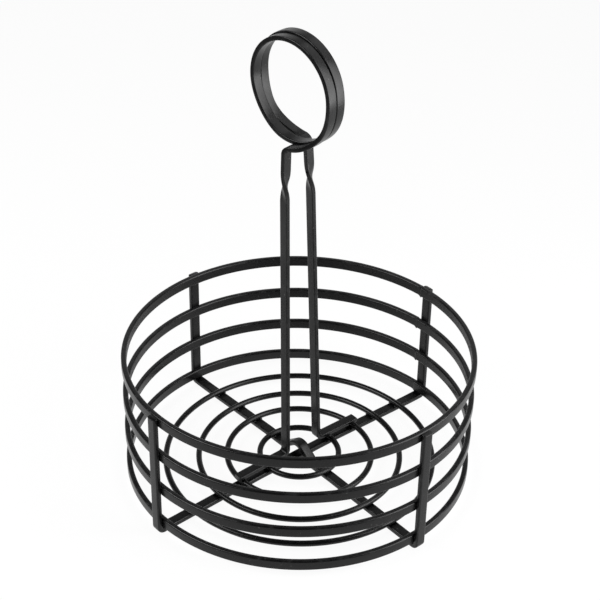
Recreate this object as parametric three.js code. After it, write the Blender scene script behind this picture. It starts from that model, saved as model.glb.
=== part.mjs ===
// Round open-sided condiment basket of black powder-coated steel strip and wire.
// Millimetres, +Z up. The origin is the centre of the base, on the table.
// +Y runs along the strap that carries the handle, +X along the strap that arches over it.

import * as THREE from 'three';

// Strip and wire, measured over the coating
const STRIP_WIDTH = 5.3;
const STRIP_THICKNESS = 2.35;
const STRIP_BEVEL = 0.3; // eased corner along the strip's long edges
const WIRE_DIAMETER = 3;
const WELD_GAP = 0.3; // clearance at every welded crossing

// Wall of hoops, from the bottom up
const HOOP_NAMES = ['base_hoop', 'lower_hoop', 'upper_hoop', 'rim_hoop'];
const HOOP_RADIUS = 95; // outer face of the hoops
const HOOP_SPACING = 22.15; // one hoop to the next
const BASE_HOOP_LIFT = 0.1; // end of a strap's corner bend to the lower edge of the base hoop
const POST_DROP = 0.3; // upper edge of the rim to the sheared end of a post

// Two straps, each a wide U of posts and base run
const CORNER_BEND = 1.5; // inner radius where a strap turns up into a post
const FOOT_LENGTH = 9.5; // level foot, inwards from the corner bend
const BASE_RISE = 1.6; // level centre of the base run above the feet
const BASE_EASE = 40; // bend radius where the run starts and stops rising
const CENTRE_MARGIN = 6; // level centre, past the inner ring
const ARCH_RISE = 7.6; // crest of the arch above the run it steps up from
const ARCH_HALF_SPAN = 12; // middle of the arch to its toe
const ARCH_HALF_CREST = 2; // middle of the arch to the top of its flank
const ARCH_BEND = 5; // bend radius on the strip's centreline
const ARCHED_STRAP_OFFSET = 1.6; // arched strap from the basket's axis, towards +Y

// Floor of wire rings
const INNER_RING_RADIUS = 22; // middle of the wire
const OUTER_RING_INSET = 20.5; // outer face of the hoops to the middle of the outer ring's wire
const MIDDLE_RING_SPACING = 15.75; // third ring to second ring, halfway from the inner to the outer
const RING_SHIFT = 1.5; // centre of the rings from the basket's axis, towards +X

// Handle: foot, upright, twist, two-turn coil, twist, upright, foot
const HANDLE_OFFSET = 2.5; // handle's axis at its feet from the basket's axis, towards +Y
const HANDLE_LEAN = THREE.MathUtils.degToRad(1.85); // top of the handle leans towards -Y
const FOOT_OVERHANG = 2.3; // end of a foot past the third ring
const HEEL_BEND = 1.8; // inner radius where a foot turns up into an upright
const HEEL_HALF_GAP = 11.2; // handle's axis to an upright, at the feet
const NECK_HALF_GAP = 8.5; // the same, where the twist starts
const CROOK_HALF_GAP = 7.3; // the same, where an upright turns into the coil
const TWIST_LENGTH = 18;
const TWIST_DROP = 12.7; // crook of the coil to the upper end of the twist
const CROOK_BEND = 2.8; // inner radius where an upright turns into the coil
const COIL_HEIGHT = 222.2; // feet to the centre of the coil
const COIL_RADIUS = 26.7; // outer face of the turns
const COIL_TURN = THREE.MathUtils.degToRad(5.2); // coil's axis, turned about the handle's axis
const TURN_GAP = 0.43; // between the two turns
const TURN_SHIFT = 0.55; // front turn off the handle's axis, towards +X, and back turn towards -X
const ENTRY_DROP = 4.3; // the strip comes into the front turn this far outside its circle
const EXIT_DROP = 6; // and leaves the back turn this far outside its circle
const LAP_ANGLE = THREE.MathUtils.degToRad(92); // angle over which either end joins its circle
const SLANT_ANGLE = THREE.MathUtils.degToRad(55); // angle over which either end comes beside the other turn
const STEP_PLACE = THREE.MathUtils.degToRad(17); // bottom of the coil to the middle of the step between turns
const STEP_ANGLE = THREE.MathUtils.degToRad(40); // half the angle of the step
const STEP_SAG = 3.5; // the step hangs this far outside the circles
const SAG_ANGLE = THREE.MathUtils.degToRad(85); // half the angle of the sag

// Fineness of the facets
const FACET_DEPTH = 0.08; // greatest distance from a true circle
const WIRE_SIDES = 8;
const BEND_STEP = THREE.MathUtils.degToRad(11.25);
const TWIST_STEPS = 10;
const COIL_STEPS = 48; // facets in each turn
const SLOPE_STEP = THREE.MathUtils.degToRad(0.05); // either side of a point, for the coil's slope

// Heights and radii that follow from the sizes above
const FULL_TURN = 2 * Math.PI;
const HALF_STRIP = STRIP_THICKNESS / 2;
const HALF_WIRE = WIRE_DIAMETER / 2;
const hoopHeight = (level) =>
  STRIP_THICKNESS + CORNER_BEND + BASE_HOOP_LIFT + STRIP_WIDTH / 2 + level * HOOP_SPACING;
const rimTop = hoopHeight(HOOP_NAMES.length - 1) + STRIP_WIDTH / 2;
const postRadius = HOOP_RADIUS + WELD_GAP + HALF_STRIP;
const footRadius = postRadius - HALF_STRIP - CORNER_BEND - FOOT_LENGTH;
const centreRadius = INNER_RING_RADIUS + CENTRE_MARGIN;
const outerRingRadius = HOOP_RADIUS - OUTER_RING_INSET;
const middleRadius = (INNER_RING_RADIUS + outerRingRadius) / 2;
const ringRadii = {
  base_ring_outer: outerRingRadius,
  base_ring_second: middleRadius + MIDDLE_RING_SPACING / 2,
  base_ring_third: middleRadius - MIDDLE_RING_SPACING / 2,
  base_ring_inner: INNER_RING_RADIUS,
};

// Upper face of a strap's base run at a distance from the basket's axis
function strapTop(radius) {
  const rise = THREE.MathUtils.clamp((footRadius - radius) / (footRadius - centreRadius), 0, 1);
  return STRIP_THICKNESS + BASE_RISE * rise;
}

const ringHeight = (radius) => strapTop(radius) + WELD_GAP + HALF_WIRE;
const footHeight = (radius) => ringHeight(radius) + HALF_WIRE + WELD_GAP + HALF_STRIP;

// Black satin powder coat
function coating() {
  return new THREE.MeshStandardMaterial({ color: 0x1c1c1e, roughness: 0.45, metalness: 0 });
}

function piece(name, geometry) {
  const mesh = new THREE.Mesh(geometry, coating());
  mesh.name = name;
  return mesh;
}

// Number of facets round a circle, the same in each quarter
function facets(radius) {
  const quarter = Math.PI / (4 * Math.acos(1 - FACET_DEPTH / radius));
  return 4 * Math.ceil(quarter);
}

// Section of the flat strip: x across its width, y through its thickness
function stripSection() {
  const x = STRIP_WIDTH / 2;
  const y = HALF_STRIP;
  const section = new THREE.Shape();
  section.moveTo(x - STRIP_BEVEL, -y);
  section.lineTo(x, -y + STRIP_BEVEL);
  section.lineTo(x, y - STRIP_BEVEL);
  section.lineTo(x - STRIP_BEVEL, y);
  section.lineTo(-x + STRIP_BEVEL, y);
  section.lineTo(-x, y - STRIP_BEVEL);
  section.lineTo(-x, -y + STRIP_BEVEL);
  section.lineTo(-x + STRIP_BEVEL, -y);
  section.closePath();
  return section;
}

// Part of a direction that is square to a tangent
function squareTo(direction, tangent) {
  return direction.clone().addScaledVector(tangent, -direction.dot(tangent)).normalize();
}

// A strip's centreline as stations. Each has a point, a tangent and the direction across the strip.
class StripPath extends THREE.Curve {
  constructor(stations) {
    super();
    this.stations = stations;
  }

  getSpacedPoints() {
    return this.stations.map((station) => station.point);
  }

  computeFrenetFrames() {
    const tangents = this.stations.map((station) => station.tangent);
    const normals = this.stations.map((station) => squareTo(station.across, station.tangent));
    const binormals = tangents.map((tangent, i) => tangent.clone().cross(normals[i]));
    return { tangents, normals, binormals };
  }
}

function bentStrip(name, stations) {
  const path = new StripPath(stations);
  const options = { steps: stations.length - 1, extrudePath: path };
  return piece(name, new THREE.ExtrudeGeometry(stripSection(), options));
}

// Stations along straight runs between corners. Each inner corner is rounded to its bend radius,
// or to the largest that the runs beside it have room for.
function bentLine(corners, bends, across) {
  const last = corners.length - 1;
  const heading = (i) => corners[i + 1].clone().sub(corners[i]).normalize();
  const room = (i) => corners[i].distanceTo(corners[i + 1]) / (i > 0 && i + 1 < last ? 2 : 1);
  const stations = [{ point: corners[0], tangent: heading(0), across }];
  for (let i = 1; i < last; i++) {
    const incoming = heading(i - 1);
    const outgoing = heading(i);
    const turn = incoming.angleTo(outgoing);
    const reach = Math.min(bends[i - 1] * Math.tan(turn / 2), room(i - 1), room(i));
    const radius = reach / Math.tan(turn / 2);
    const inward = squareTo(outgoing, incoming);
    const start = corners[i].clone().addScaledVector(incoming, -reach);
    const steps = Math.ceil(turn / BEND_STEP);
    for (let k = 0; k <= steps; k++) {
      const angle = (turn * k) / steps;
      const point = start.clone().addScaledVector(incoming, radius * Math.sin(angle));
      const tangent = incoming.clone().multiplyScalar(Math.cos(angle));
      stations.push({
        point: point.addScaledVector(inward, radius * (1 - Math.cos(angle))),
        tangent: tangent.addScaledVector(inward, Math.sin(angle)),
        across,
      });
    }
  }
  stations.push({ point: corners[last], tangent: heading(last - 1), across });
  return stations;
}

// Hoop: the strip's section stood on edge and revolved
function hoop(name, level) {
  const middle = HOOP_RADIUS - HALF_STRIP;
  const outline = stripSection().getPoints().map((p) => new THREE.Vector2(middle - p.y, p.x));
  const mesh = piece(name, new THREE.LatheGeometry(outline, facets(HOOP_RADIUS)));
  mesh.rotation.x = Math.PI / 2;
  mesh.position.z = hoopHeight(level);
  return mesh;
}

function baseRing(name) {
  const radius = ringRadii[name];
  const mesh = piece(name, new THREE.TorusGeometry(radius, HALF_WIRE, WIRE_SIDES, facets(radius)));
  mesh.position.set(RING_SHIFT, 0, ringHeight(radius));
  return mesh;
}

// Strap along X: post, level foot, rising base run, level centre, and the same mirrored
function strap(name, arched) {
  const centreLevel = HALF_STRIP + BASE_RISE;
  const half = [
    { x: postRadius, z: rimTop - POST_DROP },
    { x: postRadius, z: HALF_STRIP, bend: CORNER_BEND + HALF_STRIP },
    { x: footRadius, z: HALF_STRIP, bend: BASE_EASE },
    { x: centreRadius, z: centreLevel, bend: BASE_EASE },
  ];
  if (arched) {
    half.push({ x: ARCH_HALF_SPAN, z: centreLevel, bend: ARCH_BEND });
    half.push({ x: ARCH_HALF_CREST, z: centreLevel + ARCH_RISE, bend: ARCH_BEND });
  }
  const mirrored = half.map((corner) => ({ ...corner, x: -corner.x })).reverse();
  const outline = [...half, ...mirrored];
  const corners = outline.map((corner) => new THREE.Vector3(corner.x, 0, corner.z));
  const bends = outline.slice(1, -1).map((corner) => corner.bend);
  return bentStrip(name, bentLine(corners, bends, new THREE.Vector3(0, 1, 0)));
}

// Frames of the handle's uprights and of its coil. Both stand on the feet and lean.
function handleFrames() {
  const uprights = new THREE.Matrix4().makeTranslation(0, HANDLE_OFFSET, footHeight(INNER_RING_RADIUS));
  uprights.multiply(new THREE.Matrix4().makeRotationX(HANDLE_LEAN));
  const coil = uprights.clone().multiply(new THREE.Matrix4().makeRotationZ(COIL_TURN));
  return { uprights, coil };
}

// Angles of the coil where the front upright's crook ends and the back upright's starts.
// They run from the bottom of the coil, in front, through both turns.
const turnRadius = COIL_RADIUS - HALF_STRIP;
const crookBend = CROOK_BEND + HALF_STRIP;
const crookAngle = (drop) => Math.asin(crookBend / (turnRadius + drop + crookBend));
const entryAngle = crookAngle(ENTRY_DROP);
const exitAngle = 2 * FULL_TURN - crookAngle(EXIT_DROP);

// Point of the coil's centreline in the coil's frame
function coilPoint(angle) {
  const { smoothstep } = THREE.MathUtils;
  const last = 2 * FULL_TURN;
  const step = FULL_TURN + STEP_PLACE;
  const entry = ENTRY_DROP * (1 - smoothstep(angle, 0, LAP_ANGLE));
  const exit = EXIT_DROP * smoothstep(angle, last - LAP_ANGLE, last);
  const sag = STEP_SAG * (1 - smoothstep(Math.abs(angle - step), 0, SAG_ANGLE));
  const radius = turnRadius + entry + exit + sag;
  const shift = TURN_SHIFT * (1 - 2 * smoothstep(angle, step - SAG_ANGLE, step + SAG_ANGLE));

  const turnOffset = (STRIP_WIDTH + TURN_GAP) / 2;
  const beside = smoothstep(angle, 0, SLANT_ANGLE) - 1 + smoothstep(angle, last - SLANT_ANGLE, last);
  const crossed = 2 * smoothstep(angle, step - STEP_ANGLE, step + STEP_ANGLE) - 1;
  const offset = turnOffset * crossed + (CROOK_HALF_GAP - turnOffset) * beside;
  return new THREE.Vector3(shift + radius * Math.sin(angle), offset, COIL_HEIGHT - radius * Math.cos(angle));
}

function coilStation(frame, angle) {
  const heading = coilPoint(angle + SLOPE_STEP).sub(coilPoint(angle - SLOPE_STEP));
  return {
    point: coilPoint(angle).applyMatrix4(frame),
    tangent: heading.transformDirection(frame),
    across: new THREE.Vector3(0, -1, 0).transformDirection(frame),
  };
}

// Leg of the handle: foot, upright, twist and crook, from the toe to where the coil starts.
// In front halfTurn is 1. Behind it is -1, and the leg is turned half round the handle's axis.
function handleLeg(halfTurn, frames, coilEnd) {
  const innerRadius = ringRadii.base_ring_inner;
  const thirdRadius = ringRadii.base_ring_third;
  const footSlope = (footHeight(thirdRadius) - footHeight(innerRadius)) / (thirdRadius - innerRadius);
  const footLine = (radius) => footHeight(innerRadius) + footSlope * (radius - innerRadius);
  const onUpright = (halfGap, height) =>
    new THREE.Vector3(0, -halfTurn * halfGap, height).applyMatrix4(frames.uprights);

  // Crook: where the coil's end, carried on straight, comes over the upright
  const end = coilEnd.point.clone().applyMatrix4(frames.coil.clone().invert());
  const heading = coilEnd.tangent.clone().transformDirection(frames.coil.clone().invert());
  const crook = end.addScaledVector(heading, -end.x / heading.x);
  const neckHeight = crook.z - TWIST_DROP - TWIST_LENGTH;
  crook.applyMatrix4(frames.coil);

  // Foot on the rings and upright to the neck, with the strip's wide face towards the other upright
  const sideways = new THREE.Vector3(halfTurn, 0, 0);
  const reach = thirdRadius + FOOT_OVERHANG;
  const toe = new THREE.Vector3(0, -halfTurn * reach, footLine(reach));
  const low = onUpright(HEEL_HALF_GAP, 0);
  const neck = onUpright(NECK_HALF_GAP, neckHeight);
  const overFoot = (point) => point.z - footLine(-halfTurn * point.y);
  const heel = low.clone().lerp(neck, overFoot(low) / (overFoot(low) - overFoot(neck)));
  const leg = bentLine([toe, heel, neck], [HEEL_BEND + HALF_STRIP], sideways);

  // Twist of about a quarter turn, above the neck
  const coilAcross = coilEnd.across.clone().multiplyScalar(halfTurn);
  const upward = crook.clone().sub(neck).normalize();
  const before = squareTo(sideways, upward);
  const after = squareTo(coilAcross, upward);
  const twist = Math.atan2(before.clone().cross(after).dot(upward), before.dot(after));
  for (let i = 1; i <= TWIST_STEPS; i++) {
    const share = i / TWIST_STEPS;
    leg.push({
      point: neck.clone().addScaledVector(upward, share * TWIST_LENGTH),
      tangent: upward,
      across: before.clone().applyAxisAngle(upward, twist * THREE.MathUtils.smoothstep(share, 0, 1)),
    });
  }
  const bend = bentLine([leg.at(-1).point, crook, coilEnd.point], [crookBend], coilAcross);
  leg.push(...bend.slice(1, -1));
  return leg;
}

// Least distance between parts of a strip that are half a turn of the coil or more apart
function leastGap(stations) {
  const section = stripSection().getPoints();
  const { normals, binormals } = new StripPath(stations).computeFrenetFrames();
  const corner = (i, p) =>
    stations[i].point.clone().addScaledVector(normals[i], p.x).addScaledVector(binormals[i], p.y);
  const rims = stations.map((station, i) => section.map((p) => corner(i, p)));
  let least = Infinity;
  for (let i = 0; i < rims.length; i++) {
    for (let j = i + COIL_STEPS / 2; j < rims.length; j++) {
      for (const p of rims[i]) {
        for (const q of rims[j]) {
          least = Math.min(least, p.distanceTo(q));
        }
      }
    }
  }
  return least;
}

// Handle: one strip from the front foot, through the coil, to the back foot
function handle(name) {
  const frames = handleFrames();
  const steps = Math.ceil(((exitAngle - entryAngle) / FULL_TURN) * COIL_STEPS);
  const coil = [];
  for (let i = 0; i <= steps; i++) {
    coil.push(coilStation(frames.coil, THREE.MathUtils.lerp(entryAngle, exitAngle, i / steps)));
  }
  const front = handleLeg(1, frames, coil[0]);
  const back = handleLeg(-1, frames, coil[steps]).reverse().map((station) => ({
    point: station.point,
    tangent: station.tangent.clone().negate(),
    across: station.across.clone().negate(),
  }));
  const stations = [...front, ...coil, ...back];
  console.log(`${name}: least gap of the strip to itself ${leastGap(stations).toFixed(2)} mm`);
  return bentStrip(name, stations);
}

const basket = new THREE.Group();

HOOP_NAMES.forEach((name, level) => basket.add(hoop(name, level)));

const frontBackStrap = strap('front_back_strap', false);
frontBackStrap.rotation.z = Math.PI / 2;
const sideToSideStrap = strap('side_to_side_strap', true);
sideToSideStrap.position.y = ARCHED_STRAP_OFFSET;
basket.add(frontBackStrap, sideToSideStrap);

Object.keys(ringRadii).forEach((name) => basket.add(baseRing(name)));

basket.add(handle('handle'));

export default basket;
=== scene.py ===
import math

import bpy
import numpy as np
from mathutils import Matrix, Quaternion, Vector

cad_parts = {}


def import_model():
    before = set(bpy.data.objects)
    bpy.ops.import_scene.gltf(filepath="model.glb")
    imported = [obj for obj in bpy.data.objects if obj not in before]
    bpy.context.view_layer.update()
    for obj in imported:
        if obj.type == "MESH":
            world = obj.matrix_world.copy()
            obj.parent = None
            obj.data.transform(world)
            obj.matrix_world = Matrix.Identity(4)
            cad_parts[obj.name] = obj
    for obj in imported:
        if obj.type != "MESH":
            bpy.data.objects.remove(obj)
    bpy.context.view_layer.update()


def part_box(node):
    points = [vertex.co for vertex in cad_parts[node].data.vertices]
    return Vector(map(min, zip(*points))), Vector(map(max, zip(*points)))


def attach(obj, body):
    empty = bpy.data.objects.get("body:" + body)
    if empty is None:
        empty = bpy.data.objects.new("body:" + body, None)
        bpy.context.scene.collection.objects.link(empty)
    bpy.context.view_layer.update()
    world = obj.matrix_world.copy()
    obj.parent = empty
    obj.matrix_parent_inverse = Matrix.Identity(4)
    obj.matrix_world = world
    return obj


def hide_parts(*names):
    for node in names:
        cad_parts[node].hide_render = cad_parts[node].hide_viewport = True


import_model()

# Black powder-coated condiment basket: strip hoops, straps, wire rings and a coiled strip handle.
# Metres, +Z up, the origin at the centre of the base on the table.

MM = 0.001
FULL_TURN = 2 * math.pi
QUARTER_TURN = math.pi / 2

# Strip and coating
STRIP_THICKNESS = 2.35 * MM
HALF_STRIP = STRIP_THICKNESS / 2
STRIP_CORNER = 0.8 * MM  # rounded long edges of the hoops and straps
HANDLE_CORNER = 0.5 * MM  # and of the handle, where the coat fills the line between the turns
WALL_BUILD = 0.26 * MM  # coat and weld build-up on every face of the hoops and straps
HANDLE_BUILD = 0.04 * MM  # the same on the handle
WIRE_BUILD = 0.13 * MM  # and on the wires
STRIP_CROWN = 0.03 * MM  # wide faces are very slightly convex
END_ROUND = 0.3 * MM  # eased sheared ends
POST_BEVEL = 0.3 * MM  # outer side of a post's end is cut back
WELD_GAP = 0.3 * MM  # clearance at each crossing, which a weld fills

# Colours and sheen of the powder coat
COAT_THICK = (0.0022, 0.0022, 0.0024)
COAT_CLOUDED = (0.004, 0.004, 0.0042)
COAT_WORN = (0.014, 0.014, 0.0145)
COAT_SPECK = (0.09, 0.09, 0.088)
SPECK_COVER = 0.6  # share of a speck's colour at its middle
COAT_SPECULAR = 0.26
COAT_ROUGHNESS = (0.26, 0.32)

# Noises of the coat: features to the metre and detail
CLOUD_NOISE = (55, 3)
PEEL_NOISE = (750, 2)
GRAIN_NOISE = (3200, 2)
SCUFF_NOISE = (210, 4)
SPECK_NOISE = (900, 0)

# Levels of its noise between which each effect comes in
CLOUD_LEVELS = (0.3, 0.7)
WORN_LEVELS = (0.52, 0.68)
SPECK_LEVELS = (0.82, 0.85)
SHEEN_LEVELS = (0.3, 0.7)

# Relief of the coat: strength and depth
GRAIN_RELIEF = (0.2, 0.008 * MM)
PEEL_RELIEF = (0.25, 0.02 * MM)

# Straps
CORNER_BEND = 1.5 * MM  # inner radius where a strap turns up into a post
FOOT_LENGTH = 9.5 * MM  # level foot, inwards from the corner bend
BASE_RISE = 1.6 * MM  # level centre of the base run above the feet
BASE_EASE = 40 * MM  # bend radius where the run starts and stops rising
CENTRE_MARGIN = 6 * MM  # level centre, past the inner ring
ARCH_RISE = 7.6 * MM  # crest of the arch above the level centre
ARCH_HALF_SPAN = 12 * MM  # middle of the arch to its foot
ARCH_HALF_CREST = 2 * MM  # and to the end of its crest
ARCH_BEND = 5 * MM

# Handle
HANDLE_OFFSET = 2.5 * MM  # handle's axis at its feet from the basket's axis
HANDLE_LEAN = math.radians(1.85)
FOOT_OVERHANG = 2.3 * MM  # end of a foot past the third ring
HEEL_BEND = 1.8 * MM
HEEL_HALF_GAP = 11.2 * MM  # handle's axis to an upright, at the feet
NECK_HALF_GAP = 8.5 * MM  # the same, where the twist starts
CROOK_HALF_GAP = 7.3 * MM  # the same, where an upright turns into the coil
TWIST_LENGTH = 18 * MM
TWIST_DROP = 12.7 * MM  # crook of the coil to the upper end of the twist
CROOK_BEND = 2.8 * MM

# Coil of the handle
COIL_HEIGHT = 222.2 * MM  # feet to the centre of the coil
COIL_RADIUS = 26.7 * MM
COIL_ANGLE = 2 * FULL_TURN  # front turn and back turn
COIL_TURN = math.radians(5.2)
TURN_GAP = 0.06 * MM  # clear gap between the two turns
TURN_SHIFT = 0.05 * MM  # front turn off the handle's axis, towards +X, and back turn towards -X
TURN_LIFT = 0.45 * MM  # front turn under the coil's centre, and back turn over it
ENTRY_DROP = 4.3 * MM  # the strip comes into the front turn this far outside its circle
EXIT_DROP = 6 * MM  # and leaves the back turn this far outside its circle
LAP_ANGLE = math.radians(92)  # angle over which it comes to the circle, or leaves it
SLANT_ANGLE = math.radians(55)  # and over which it comes beside the other turn, or leaves it
STEP_PLACE = math.radians(17)  # bottom of the coil to the middle of the step between turns
STEP_ANGLE = math.radians(40)  # middle of the step to its end
STEP_SAG = 3.5 * MM  # middle of the step outside the circle
SAG_ANGLE = math.radians(85)  # middle of the step to where the sag ends

# Butt weld in each hoop, beside the post at the back, by the distance from the middle of the post
SEAM_FROM_POST = {
    "rim_hoop": 2.2 * MM,
    "upper_hoop": 4 * MM,
    "lower_hoop": 2.9 * MM,
    "base_hoop": 2.4 * MM,
}
SEAM_HALF_WIDTH = 0.9 * MM
SEAM_DROOP = 0.9 * MM  # bead under the lower edge
SEAM_CREST = 0.15 * MM  # bead over the upper edge
BEAD_POWER = 3  # how fast a bead fades from its edge to the middle of the strip
SEAM_LINE = 0.3 * SEAM_HALF_WIDTH  # half width of the line left between the ends on the wide faces
SEAM_GROOVE = 0.14 * MM  # depth of that line
SEAM_STEP = 0.2 * MM  # one end of the strip stands out by this and the other in
SEAM_STEP_FADE = 14 * MM  # distance over which that dies away
SEAM_REACH = 4 * SEAM_HALF_WIDTH  # the mesh is finer this far to both sides

# Weld nuggets at the crossings: half sizes along the wire, square to it and upwards
RING_WELD = (1.0 * MM, 0.8 * MM, 0.65 * MM)
FOOT_WELD = (0.9 * MM, 0.8 * MM, 0.6 * MM)
POST_WELD = (2.1 * MM, 0.45 * MM, 2.1 * MM)
RING_WELD_INSET = 0.75  # wire's centreline to a nugget, inwards, as a share of half the wire
FOOT_WELD_INSET = 0.5  # the same under the handle's feet
WELD_WOBBLE = 0.14  # unevenness of a nugget, as a share of its size
WELD_LOBES = 3  # bulges round a nugget
WELD_SKEW = 2  # their phase, for each radian from the nugget's top
WELD_PHASE = 2.4  # and from one nugget to the next, in radians

# Fineness of the meshes
BEND_STEP = math.radians(5)
TWIST_STEPS = 36
COIL_STEPS = 320
SLOPE_STEP = math.radians(0.05)  # to both sides of a point of the coil, for its direction
CORNER_STEPS = 6
FACE_SHARES = (0.92, 0.5, 0, -0.5, -0.92)  # rows of points across a wide face
END_STEPS = 4
END_RUN = 2  # last full section before an eased end, in times the rounding and bevel
HOOP_STEPS = 288
SEAM_STEPS = 40
WIRE_SIDES = 20
RING_STEPS = 180
WELD_RINGS = 10
WELD_SIDES = 16

# Camera, fitted to the photograph
CAMERA_PLACE = Vector((0.50631, -0.43717, 0.53969))
CAMERA_AZIMUTH = math.radians(49.198)
CAMERA_PITCH = math.radians(32.934)
CAMERA_ROLL = math.radians(-0.989)
CAMERA_LENS = 90.995  # in millimetres
toward_camera = Vector((CAMERA_PLACE.x, CAMERA_PLACE.y, 0)).normalized()
picture_right = Vector((-toward_camera.y, toward_camera.x, 0))

# Floor, with white paper under the basket
FLOOR_HALF_SIZE = 20
FLOOR_LEVEL = -WALL_BUILD - STRIP_CROWN  # under the coated straps
FLOOR_ROUGHNESS = 0.9
FLOOR_GLOW = 0.93  # how white the floor and the world are to the camera, the lamps' light apart
PAPER_EDGE = (-0.36, -0.26)  # the paper fades out between these places, left of the axis
WHITE_PAPER = (0.95, 0.95, 0.95)
DARK_FLOOR = (0.2, 0.2, 0.2)

# World: a bright backdrop behind the basket and a dim room, which only lighting and reflections show
BACKDROP_LEVELS = ((0.25, 0.03), (0.6, 0.6), (0.9, 1))  # how squarely a direction meets it, and its level
BACKDROP_DROP = 0.36  # slope down to the brightest part

# Softboxes: azimuth from the camera's side, positive to the right, distance from the basket's axis,
# height, size, power in watts and the height on the axis that they face
SOFTBOXES = {
    "left_softbox": {
        "azimuth": math.radians(-73),
        "distance": 0.8,
        "height": 0.72,
        "width": 0.75,
        "length": 0.5,
        "power": 9.8,
        "aim": 0.1,
    },
    "right_softbox": {
        "azimuth": math.radians(72),
        "distance": 0.5,
        "height": 0.46,
        "width": 0.36,
        "length": 0.9,
        "power": 6.6,
        "aim": 0.46,
    },
    "rear_softbox": {
        "azimuth": math.radians(130),
        "distance": 0.6,
        "height": 0.95,
        "width": 0.7,
        "length": 0.35,
        "power": 1.1,
        "aim": 0.2,
    },
}

# Nodes, and sizes and places that the frame gives
HOOPS = ("base_hoop", "lower_hoop", "upper_hoop", "rim_hoop")
RINGS = ("base_ring_outer", "base_ring_second", "base_ring_third", "base_ring_inner")
STRAPS = ("front_back_strap", "side_to_side_strap")
boxes = {name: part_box(name) for name in HOOPS + RINGS + STRAPS}


def middle(name):
    low, high = boxes[name]
    return (low + high) / 2


def height_of(name):
    low, high = boxes[name]
    return high.z - low.z


strip_width = height_of("rim_hoop")
half_wire = height_of("base_ring_inner") / 2
hoop_radius = boxes["rim_hoop"][1].x  # to the outer face
post_radius = boxes["front_back_strap"][1].y - HALF_STRIP
post_top = boxes["front_back_strap"][1].z
ring_shift = middle("base_ring_inner").x
arched_strap_offset = middle("side_to_side_strap").y


def ring_radius(name):
    low, high = boxes[name]
    return (high.x - low.x) / 2 - half_wire


def smoothstep(value, start, end):
    share = min(max((value - start) / (end - start), 0), 1)
    return share * share * (3 - 2 * share)


# Shader nodes
def add_node(tree, kind, **settings):
    node = tree.nodes.new(kind)
    for key, value in settings.items():
        if key in node.inputs:
            node.inputs[key].default_value = value
        else:
            setattr(node, key, value)
    return node


def combine(tree, operation, first, second):
    node = add_node(tree, "ShaderNodeMath", operation=operation)
    tree.links.new(first, node.inputs[0])
    tree.links.new(second, node.inputs[1])
    return node.outputs["Value"]


def along_direction(tree, coordinates, direction):
    """How far each point lies along a direction."""
    node = add_node(tree, "ShaderNodeVectorMath", operation="DOT_PRODUCT")
    node.inputs[1].default_value = direction
    place = add_node(tree, "ShaderNodeTexCoord").outputs[coordinates]
    tree.links.new(place, node.inputs[0])
    return node.outputs["Value"]


# Powder coat
def powder_coat():
    material = bpy.data.materials.new("powder_coat")
    material.use_nodes = True
    tree = material.node_tree
    shader = tree.nodes["Principled BSDF"]
    shader.inputs["Specular IOR Level"].default_value = COAT_SPECULAR
    place = add_node(tree, "ShaderNodeTexCoord").outputs["Object"]

    def noise(scale, detail):
        node = add_node(tree, "ShaderNodeTexNoise", Scale=scale, Detail=detail)
        tree.links.new(place, node.inputs["Vector"])
        return node.outputs["Fac"]

    def spread(value, levels, low=0, high=1):
        """Stretches what lies between two levels of a value to the range from low to high."""
        settings = {"From Min": levels[0], "From Max": levels[1], "To Min": low, "To Max": high}
        node = add_node(tree, "ShaderNodeMapRange", **settings)
        tree.links.new(value, node.inputs["Value"])
        return node.outputs["Result"]

    def blend(share, first, second):
        """A share of the second colour over the first, which can be another node's."""
        node = add_node(tree, "ShaderNodeMix", data_type="RGBA")
        if isinstance(first, tuple):
            node.inputs["A"].default_value = (*first, 1)
        else:
            tree.links.new(first, node.inputs["A"])
        node.inputs["B"].default_value = (*second, 1)
        tree.links.new(share, node.inputs["Factor"])
        return node.outputs["Result"]

    def relief(height, strength, depth):
        node = add_node(tree, "ShaderNodeBump", Strength=strength, Distance=depth)
        tree.links.new(height, node.inputs["Height"])
        return node

    edge = add_node(tree, "ShaderNodeAttribute", attribute_name="edge").outputs["Fac"]
    scuff = noise(*SCUFF_NOISE)

    # Colour: black with a faint cloudiness, thin and worn in places along the edges, with rare pale specks
    colour = blend(spread(noise(*CLOUD_NOISE), CLOUD_LEVELS), COAT_THICK, COAT_CLOUDED)
    worn = combine(tree, "MULTIPLY", edge, spread(scuff, WORN_LEVELS))
    colour = blend(worn, colour, COAT_WORN)
    specks = spread(noise(*SPECK_NOISE), SPECK_LEVELS, high=SPECK_COVER)
    colour = blend(specks, colour, COAT_SPECK)
    tree.links.new(colour, shader.inputs["Base Color"])

    # Sheen: satin, smoother in places
    sheen = spread(scuff, SHEEN_LEVELS, *COAT_ROUGHNESS)
    tree.links.new(sheen, shader.inputs["Roughness"])

    # Relief: orange peel and fine grain
    grain = relief(noise(*GRAIN_NOISE), *GRAIN_RELIEF)
    peel = relief(noise(*PEEL_NOISE), *PEEL_RELIEF)
    tree.links.new(grain.outputs["Normal"], peel.inputs["Normal"])
    tree.links.new(peel.outputs["Normal"], shader.inputs["Normal"])
    return material


coat = powder_coat()


def add_piece(name, points, faces, edges, *nodes):
    """A smooth coated piece that rides on the basket and stands for the nodes. edges is 1 for a point on a
    strip's long edge and 0 elsewhere."""
    mesh = bpy.data.meshes.new(name)
    mesh.from_pydata([tuple(p) for p in points], [], faces)
    mesh.validate()
    attribute = mesh.attributes.new("edge", "FLOAT", "POINT")
    attribute.data.foreach_set("value", np.asarray(edges, np.float32))
    mesh.shade_smooth()
    mesh.materials.append(coat)
    piece = bpy.data.objects.new(name, mesh)
    bpy.context.scene.collection.objects.link(piece)
    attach(piece, "root")
    if nodes:
        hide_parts(*nodes)


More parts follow.
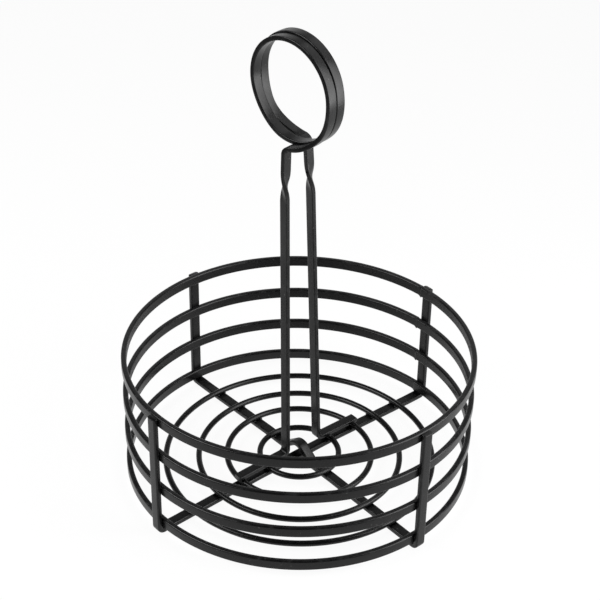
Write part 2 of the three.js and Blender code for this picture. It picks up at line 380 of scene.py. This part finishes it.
# Section of a strip
class Section:
    """Points round a strip's section, from the middle of one narrow face. x runs across the strip and y
    through it. Each point has the centre that its rounding is struck from, its outward direction and
    whether it lies on a long edge."""

    def __init__(self, corner, build):
        core_x = strip_width / 2 + build - corner
        core_y = HALF_STRIP + build - corner
        half = [(core_x, 0, 1, 0, 0)]
        for i in range(CORNER_STEPS + 1):
            angle = QUARTER_TURN * i / CORNER_STEPS
            half.append((core_x, core_y, math.cos(angle), math.sin(angle), 1))
        for share in FACE_SHARES:
            half.append((core_x * share, core_y + STRIP_CROWN * (1 - share * share), 0, 1, 0))
        for i in range(CORNER_STEPS + 1):
            angle = QUARTER_TURN * (1 + i / CORNER_STEPS)
            half.append((-core_x, core_y, math.cos(angle), math.sin(angle), 1))
        turned = [(-x, -y, -nx, -ny, edge) for x, y, nx, ny, edge in half]
        rows = np.array(half + turned)
        self.corner = corner
        self.core = rows[:, :2]
        self.out = rows[:, 2:4]
        self.edge = rows[:, 4]
        self.count = len(rows)

    def points(self, inset=0.0):
        return self.core + (self.corner - inset) * self.out


wall_section = Section(STRIP_CORNER, WALL_BUILD)
handle_section = Section(HANDLE_CORNER, HANDLE_BUILD)


def ring_faces(rows, columns, closed):
    """Quads between each row of points and the next."""
    faces = []
    for i in range(rows if closed else rows - 1):
        first = i * columns
        second = (i + 1) % rows * columns
        for j in range(columns):
            k = (j + 1) % columns
            faces.append((first + j, first + k, second + k, second + j))
    return faces


# Strips along a path. A station is a point, a tangent and the direction across the strip.
def square_to(direction, tangent):
    return (direction - direction.dot(tangent) * tangent).normalized()


def turned_by(stance, direction):
    return (stance.to_3x3() @ Vector(direction)).normalized()


def bent_line(corners, bends, across):
    """Stations along straight runs between corners, each inner corner rounded to its bend radius."""
    headings = [(b - a).normalized() for a, b in zip(corners, corners[1:])]
    stations = [(corners[0], headings[0], across)]
    for i, bend in enumerate(bends):
        incoming = headings[i]
        outgoing = headings[i + 1]
        turn = incoming.angle(outgoing)
        inward = square_to(outgoing, incoming)
        start = corners[i + 1] - incoming * bend * math.tan(turn / 2)
        steps = math.ceil(turn / BEND_STEP)
        for k in range(steps + 1):
            angle = turn * k / steps
            point = start + incoming * bend * math.sin(angle) + inward * bend * (1 - math.cos(angle))
            tangent = incoming * math.cos(angle) + inward * math.sin(angle)
            stations.append((point, tangent, across))
    stations.append((corners[-1], headings[-1], across))
    return stations


def section_row(section, station, inset=0.0):
    """Points round a strip's section at a station."""
    point, tangent, across = station
    side = square_to(across, tangent)
    through = tangent.cross(side)
    points = section.points(inset)
    return np.array(point) + np.outer(points[:, 0], side) + np.outer(points[:, 1], through)


def end_rows(section, station, sense, bevel):
    """Rows from the full section to an eased end. sense is 1 where the strip ends and -1 where it
    starts."""
    tangent = sense * np.array(station[1])
    outer = np.clip(section.points()[:, 1] / HALF_STRIP, 0, 1)
    rows = [section_row(section, station) - END_RUN * (END_ROUND + bevel) * tangent]
    for i in range(END_STEPS + 1):
        angle = QUARTER_TURN * i / END_STEPS
        back = END_ROUND * (1 - math.sin(angle)) + bevel * outer
        row = section_row(section, station, END_ROUND * (1 - math.cos(angle)))
        rows.append(row - np.outer(back, tangent))
    return rows


def bent_strip(name, section, stations, bevel=0.0):
    """A strip swept along stations, with eased ends. bevel is how far the outer side of both ends is cut
    back."""
    rows = end_rows(section, stations[0], -1, bevel)[::-1]
    rows += [section_row(section, station) for station in stations[1:-1]]
    rows += end_rows(section, stations[-1], 1, bevel)
    faces = ring_faces(len(rows), section.count, False)
    half = section.count // 2
    last = (len(rows) - 1) * section.count
    cap = list(range(section.count)) + [0]
    for side in (cap[: half + 1], cap[half:]):
        faces.append(tuple(reversed(side)))
        faces.append(tuple(last + i for i in side))
    edges = np.tile(section.edge, len(rows))
    add_piece(name + "_coated", np.concatenate(rows), faces, edges, name)


# Hoops
def hoop(name):
    seam = QUARTER_TURN + SEAM_FROM_POST[name] / hoop_radius
    reach = SEAM_REACH / hoop_radius
    around = np.linspace(reach, FULL_TURN - reach, HOOP_STEPS)
    across_seam = np.linspace(-reach, reach, SEAM_STEPS + 2)[1:-1] + FULL_TURN
    angles = np.concatenate([around, across_seam])
    section = wall_section.points()
    near_lower = np.clip(-section[:, 0] / (strip_width / 2), 0, 1) ** BEAD_POWER
    near_upper = np.clip(section[:, 0] / (strip_width / 2), 0, 1) ** BEAD_POWER
    points = []
    for angle in angles:
        from_seam = (angle if angle < math.pi else angle - FULL_TURN) * hoop_radius
        bead = math.exp(-((from_seam / SEAM_HALF_WIDTH) ** 2))
        groove = math.exp(-((from_seam / SEAM_LINE) ** 2))
        step = SEAM_STEP * math.tanh(from_seam / SEAM_LINE)
        step *= math.exp(-abs(from_seam) / SEAM_STEP_FADE)
        up = section[:, 0] - SEAM_DROOP * bead * near_lower + SEAM_CREST * bead * near_upper
        out = section[:, 1] - SEAM_GROOVE * groove * np.sign(section[:, 1]) + step
        radius = hoop_radius - HALF_STRIP + out
        turned = angle + seam
        height = middle(name).z + up
        points.append(np.stack([radius * math.cos(turned), radius * math.sin(turned), height], 1))
    faces = ring_faces(len(angles), wall_section.count, True)
    edges = np.tile(wall_section.edge, len(angles))
    add_piece(name + "_coated", np.concatenate(points), faces, edges, name)


# Floor rings
def base_ring(name):
    centre = middle(name)
    coated = half_wire + WIRE_BUILD
    sides = FULL_TURN * np.arange(WIRE_SIDES) / WIRE_SIDES
    radius = ring_radius(name) + coated * np.cos(sides)
    height = centre.z + coated * np.sin(sides)
    points = []
    for i in range(RING_STEPS):
        angle = FULL_TURN * i / RING_STEPS
        points.append(np.stack([centre.x + radius * math.cos(angle), radius * math.sin(angle), height], 1))
    faces = [tuple(reversed(face)) for face in ring_faces(RING_STEPS, WIRE_SIDES, True)]
    edges = np.zeros(RING_STEPS * WIRE_SIDES)
    add_piece(name + "_coated", np.concatenate(points), faces, edges, name)


# Straps
foot_radius = post_radius - HALF_STRIP - CORNER_BEND - FOOT_LENGTH
centre_radius = ring_radius("base_ring_inner") + CENTRE_MARGIN


def strap(name, turn, offset, arched):
    level = HALF_STRIP + BASE_RISE
    half = [
        (post_radius, post_top, None),
        (post_radius, HALF_STRIP, CORNER_BEND + HALF_STRIP),
        (foot_radius, HALF_STRIP, BASE_EASE),
        (centre_radius, level, BASE_EASE),
    ]
    if arched:
        half.append((ARCH_HALF_SPAN, level, ARCH_BEND))
        half.append((ARCH_HALF_CREST, level + ARCH_RISE, ARCH_BEND))
    outline = half + [(-x, z, bend) for x, z, bend in reversed(half)]
    stance = Matrix.Translation((0, offset, 0)) @ Matrix.Rotation(turn, 4, "Z")
    corners = [stance @ Vector((x, 0, z)) for x, z, bend in outline]
    bends = [bend for x, z, bend in outline[1:-1]]
    stations = bent_line(corners, bends, turned_by(stance, (0, 1, 0)))
    bent_strip(name, wall_section, stations, POST_BEVEL)


# Handle
turn_radius = COIL_RADIUS - HALF_STRIP
crook_bend = CROOK_BEND + HALF_STRIP
foot_seat = half_wire + WELD_GAP + HALF_STRIP
inner_foot_height = middle("base_ring_inner").z + foot_seat
third_foot_height = middle("base_ring_third").z + foot_seat


def coil_point(angle):
    """Point of the coil's centreline in the coil's frame. The angle runs from the bottom, in front, through
    both turns."""
    step = FULL_TURN + STEP_PLACE
    entering = ENTRY_DROP * (1 - smoothstep(angle, 0, LAP_ANGLE))
    leaving = EXIT_DROP * smoothstep(angle, COIL_ANGLE - LAP_ANGLE, COIL_ANGLE)
    sag = STEP_SAG * (1 - smoothstep(abs(angle - step), 0, SAG_ANGLE))
    radius = turn_radius + entering + leaving + sag
    behind = 2 * smoothstep(angle, step - SAG_ANGLE, step + SAG_ANGLE) - 1
    shift = -TURN_SHIFT * behind
    turn_offset = (strip_width + TURN_GAP) / 2 + HANDLE_BUILD
    beside = smoothstep(angle, 0, SLANT_ANGLE) - 1
    beside += smoothstep(angle, COIL_ANGLE - SLANT_ANGLE, COIL_ANGLE)
    crossed = 2 * smoothstep(angle, step - STEP_ANGLE, step + STEP_ANGLE) - 1
    offset = turn_offset * crossed + (CROOK_HALF_GAP - turn_offset) * beside
    height = COIL_HEIGHT + TURN_LIFT * behind - radius * math.cos(angle)
    return Vector((shift + radius * math.sin(angle), offset, height))


def coil_station(coil_frame, angle):
    heading = coil_point(angle + SLOPE_STEP) - coil_point(angle - SLOPE_STEP)
    tangent = turned_by(coil_frame, heading)
    across = turned_by(coil_frame, (0, -1, 0))
    return coil_frame @ coil_point(angle), tangent, across


def crook_angle(drop):
    """Angle of the coil at which the crook of an upright ends."""
    return math.asin(crook_bend / (turn_radius + drop + crook_bend))


def handle_leg(half_turn, upright_frame, coil_frame, coil_end):
    """Stations of a foot, an upright, its twist and its crook. In front half_turn is 1. Behind it is -1,
    and the leg is turned half round the handle's axis."""
    inner_radius = ring_radius("base_ring_inner")
    third_radius = ring_radius("base_ring_third")
    foot_slope = (third_foot_height - inner_foot_height) / (third_radius - inner_radius)
    end_point, end_tangent, end_across = coil_end

    def foot_line(radius):
        return inner_foot_height + foot_slope * (radius - inner_radius)

    def over_foot(point):
        return point.z - foot_line(-half_turn * point.y)

    def on_upright(half_gap, height):
        return upright_frame @ Vector((0, -half_turn * half_gap, height))

    # Crook: where the coil's end, carried on straight, comes over the upright
    crook = coil_frame.inverted() @ end_point
    heading = turned_by(coil_frame.inverted(), end_tangent)
    crook = crook - heading * crook.x / heading.x
    neck = on_upright(NECK_HALF_GAP, crook.z - TWIST_DROP - TWIST_LENGTH)
    crook = coil_frame @ crook

    # Foot and upright
    sideways = Vector((half_turn, 0, 0))
    reach = third_radius + FOOT_OVERHANG
    toe = Vector((0, -half_turn * reach, foot_line(reach)))
    low = on_upright(HEEL_HALF_GAP, 0)
    heel = low.lerp(neck, over_foot(low) / (over_foot(low) - over_foot(neck)))
    leg = bent_line([toe, heel, neck], [HEEL_BEND + HALF_STRIP], sideways)

    # Twist
    coil_across = end_across * half_turn
    upward = (crook - neck).normalized()
    before = square_to(sideways, upward)
    after = square_to(coil_across, upward)
    twist = math.atan2(before.cross(after).dot(upward), before.dot(after))
    for i in range(1, TWIST_STEPS + 1):
        share = i / TWIST_STEPS
        turned = Quaternion(upward, twist * smoothstep(share, 0, 1)) @ before
        leg.append((neck + upward * TWIST_LENGTH * share, upward, turned))
    bend = bent_line([leg[-1][0], crook, end_point], [crook_bend], coil_across)
    return leg + bend[1:-1]


def handle(name):
    feet = Matrix.Translation((0, HANDLE_OFFSET, inner_foot_height))
    upright_frame = feet @ Matrix.Rotation(HANDLE_LEAN, 4, "X")
    coil_frame = upright_frame @ Matrix.Rotation(COIL_TURN, 4, "Z")
    start = crook_angle(ENTRY_DROP)
    end = COIL_ANGLE - crook_angle(EXIT_DROP)
    angles = np.linspace(start, end, COIL_STEPS + 1)
    coil = [coil_station(coil_frame, angle) for angle in angles.tolist()]
    front = handle_leg(1, upright_frame, coil_frame, coil[0])
    back = handle_leg(-1, upright_frame, coil_frame, coil[-1])
    back = [(point, -tangent, -across) for point, tangent, across in reversed(back)]
    bent_strip(name, handle_section, front + coil + back)


# Welds
def weld_piece(name, nuggets):
    """Uneven rounded nuggets of weld. Each is a centre, the direction along the wire and three half
    sizes."""
    points = []
    faces = []
    quads = ring_faces(WELD_RINGS + 1, WELD_SIDES, False)
    for number, (centre, along, sizes) in enumerate(nuggets):
        first = len(points)
        square = Vector((0, 0, 1)).cross(along)
        for i in range(WELD_RINGS + 1):
            polar = math.pi * i / WELD_RINGS
            height = Vector((0, 0, sizes[2] * math.cos(polar)))
            for j in range(WELD_SIDES):
                round_about = FULL_TURN * j / WELD_SIDES
                bulge = math.sin(WELD_LOBES * round_about + WELD_PHASE * number + WELD_SKEW * polar)
                wobble = 1 + WELD_WOBBLE * math.sin(polar) ** 2 * bulge
                x = sizes[0] * wobble * math.sin(polar) * math.cos(round_about)
                y = sizes[1] * wobble * math.sin(polar) * math.sin(round_about)
                points.append(centre + along * x + square * y + height)
        faces += [tuple(first + i for i in reversed(quad)) for quad in quads]
    add_piece(name, points, faces, np.zeros(len(points)))


def strap_top(radius):
    rise = min(max((foot_radius - radius) / (foot_radius - centre_radius), 0), 1)
    return STRIP_THICKNESS + BASE_RISE * rise


def ring_crossings(name):
    """Where a ring crosses the straps, first the arched one: a point of the wire's centreline and the
    direction towards the ring's centre."""
    radius = ring_radius(name)
    centre = middle(name)
    along_x = math.sqrt(radius * radius - arched_strap_offset * arched_strap_offset)
    along_y = math.sqrt(radius * radius - ring_shift * ring_shift)
    places = [(ring_shift + side * along_x, arched_strap_offset) for side in (1, -1)]
    places += [(0, side * along_y) for side in (1, -1)]
    crossings = []
    for x, y in places:
        point = Vector((x, y, centre.z))
        inward = (Vector((centre.x, 0, centre.z)) - point).normalized()
        crossings.append((point, inward))
    return crossings


def nugget_pair(crossing, height, apart, inset, sizes):
    """Nuggets to both sides of a crossing, on the inner side of the wire. inset is a share of half the
    wire."""
    point, inward = crossing
    along = Vector((-inward.y, inward.x, 0))
    pair = []
    for side in (1, -1):
        place = point + along * side * apart + inward * half_wire * inset
        place.z = height
        pair.append((place, along, sizes))
    return pair


def ring_welds():
    nuggets = []
    apart = strip_width / 2 - RING_WELD[0] / 2
    for name in RINGS:
        for crossing in ring_crossings(name):
            height = strap_top(crossing[0].xy.length) + RING_WELD[2] / 2
            nuggets += nugget_pair(crossing, height, apart, RING_WELD_INSET, RING_WELD)
    weld_piece("ring_welds", nuggets)


def foot_welds():
    nuggets = []
    for name in ("base_ring_third", "base_ring_inner"):
        # The feet lie over the strap of the last two crossings
        for crossing in ring_crossings(name)[2:]:
            height = crossing[0].z + half_wire
            nuggets += nugget_pair(crossing, height, strip_width / 2, FOOT_WELD_INSET, FOOT_WELD)
    weld_piece("foot_welds", nuggets)


def post_welds():
    nuggets = []
    gap_radius = hoop_radius + WELD_GAP / 2
    posts = [Vector((0, side * gap_radius, 0)) for side in (1, -1)]
    posts += [Vector((side * gap_radius, arched_strap_offset, 0)) for side in (1, -1)]
    for name in HOOPS:
        for post in posts:
            along = Vector((-post.y, post.x, 0)).normalized()
            nuggets.append((post + Vector((0, 0, middle(name).z)), along, POST_WELD))
    weld_piece("post_welds", nuggets)


# Floor: white to the camera, with a faint shadow. Reflections show the paper white and the rest dark.
def floor_material():
    material = bpy.data.materials.new("pale_floor")
    material.use_nodes = True
    tree = material.node_tree
    shader = tree.nodes["Principled BSDF"]
    shader.inputs["Roughness"].default_value = FLOOR_ROUGHNESS
    shader.inputs["Specular IOR Level"].default_value = 0
    fade = add_node(tree, "ShaderNodeMapRange", interpolation_type="SMOOTHSTEP")
    fade.inputs["From Min"].default_value = PAPER_EDGE[0]
    fade.inputs["From Max"].default_value = PAPER_EDGE[1]
    tree.links.new(along_direction(tree, "Object", picture_right), fade.inputs["Value"])
    on_paper = fade.outputs["Result"]
    path = add_node(tree, "ShaderNodeLightPath")
    seen = path.outputs["Is Camera Ray"]
    mirrored = combine(tree, "MAXIMUM", path.outputs["Is Glossy Ray"], path.outputs["Is Transmission Ray"])

    colour = add_node(tree, "ShaderNodeMix", data_type="RGBA")
    colour.inputs["A"].default_value = (*DARK_FLOOR, 1)
    colour.inputs["B"].default_value = (*WHITE_PAPER, 1)
    tree.links.new(combine(tree, "MAXIMUM", seen, on_paper), colour.inputs["Factor"])
    tree.links.new(colour.outputs["Result"], shader.inputs["Base Color"])

    white = combine(tree, "MAXIMUM", seen, combine(tree, "MULTIPLY", mirrored, on_paper))
    share = add_node(tree, "ShaderNodeMath", operation="MULTIPLY")
    share.inputs[1].default_value = FLOOR_GLOW
    tree.links.new(white, share.inputs[0])
    glow = add_node(tree, "ShaderNodeEmission", Color=(1, 1, 1, 1), Strength=1)
    mix = add_node(tree, "ShaderNodeMixShader")
    tree.links.new(share.outputs["Value"], mix.inputs["Fac"])
    tree.links.new(shader.outputs["BSDF"], mix.inputs[1])
    tree.links.new(glow.outputs["Emission"], mix.inputs[2])
    tree.links.new(mix.outputs["Shader"], tree.nodes["Material Output"].inputs["Surface"])
    return material


def floor():
    mesh = bpy.data.meshes.new("floor")
    size = FLOOR_HALF_SIZE
    corners = [(x, y, FLOOR_LEVEL) for x, y in ((-size, -size), (size, -size), (size, size), (-size, size))]
    mesh.from_pydata(corners, [], [(0, 1, 2, 3)])
    mesh.materials.append(floor_material())
    piece = bpy.data.objects.new("floor", mesh)
    bpy.context.scene.collection.objects.link(piece)


def softbox(name, azimuth, distance, height, width, length, power, aim):
    lamp = bpy.data.lights.new(name, "AREA")
    lamp.shape = "RECTANGLE"
    lamp.size = width
    lamp.size_y = length
    lamp.energy = power
    light = bpy.data.objects.new(name, lamp)
    heading = toward_camera * math.cos(azimuth) + picture_right * math.sin(azimuth)
    place = heading * distance + Vector((0, 0, height))
    light.location = place
    light.rotation_euler = (Vector((0, 0, aim)) - place).to_track_quat("-Z", "Y").to_euler()
    light.visible_camera = False
    bpy.context.scene.collection.objects.link(light)


def world():
    surround = bpy.data.worlds.new("studio")
    bpy.context.scene.world = surround
    surround.use_nodes = True
    tree = surround.node_tree
    brightest = (-toward_camera + Vector((0, 0, -BACKDROP_DROP))).normalized()
    ramp = add_node(tree, "ShaderNodeValToRGB")
    elements = ramp.color_ramp.elements
    elements.new(BACKDROP_LEVELS[1][0])
    for element, (position, level) in zip(elements, BACKDROP_LEVELS):
        element.position = position
        element.color = (level, level, level, 1)
    tree.links.new(along_direction(tree, "Generated", brightest), ramp.inputs["Fac"])
    seen = add_node(tree, "ShaderNodeMix", data_type="RGBA")
    seen.inputs["B"].default_value = (FLOOR_GLOW, FLOOR_GLOW, FLOOR_GLOW, 1)
    tree.links.new(add_node(tree, "ShaderNodeLightPath").outputs["Is Camera Ray"], seen.inputs["Factor"])
    tree.links.new(ramp.outputs["Color"], seen.inputs["A"])
    tree.links.new(seen.outputs["Result"], tree.nodes["Background"].inputs["Color"])


def camera():
    data = bpy.data.cameras.new("camera")
    data.lens = CAMERA_LENS
    view = bpy.data.objects.new("camera", data)
    level = Matrix.Rotation(CAMERA_AZIMUTH, 4, "Z") @ Matrix.Rotation(QUARTER_TURN - CAMERA_PITCH, 4, "X")
    view.matrix_world = Matrix.Translation(CAMERA_PLACE) @ level @ Matrix.Rotation(-CAMERA_ROLL, 4, "Z")
    bpy.context.scene.collection.objects.link(view)
    bpy.context.scene.camera = view


# Basket
for hoop_name in HOOPS:
    hoop(hoop_name)
for ring_name in RINGS:
    base_ring(ring_name)
strap("front_back_strap", QUARTER_TURN, 0, False)
strap("side_to_side_strap", 0, arched_strap_offset, True)
handle("handle")
ring_welds()
foot_welds()
post_welds()

# Studio
floor()
for softbox_name, settings in SOFTBOXES.items():
    softbox(softbox_name, **settings)
world()
camera()
bpy.context.scene.view_settings.view_transform = "Standard"
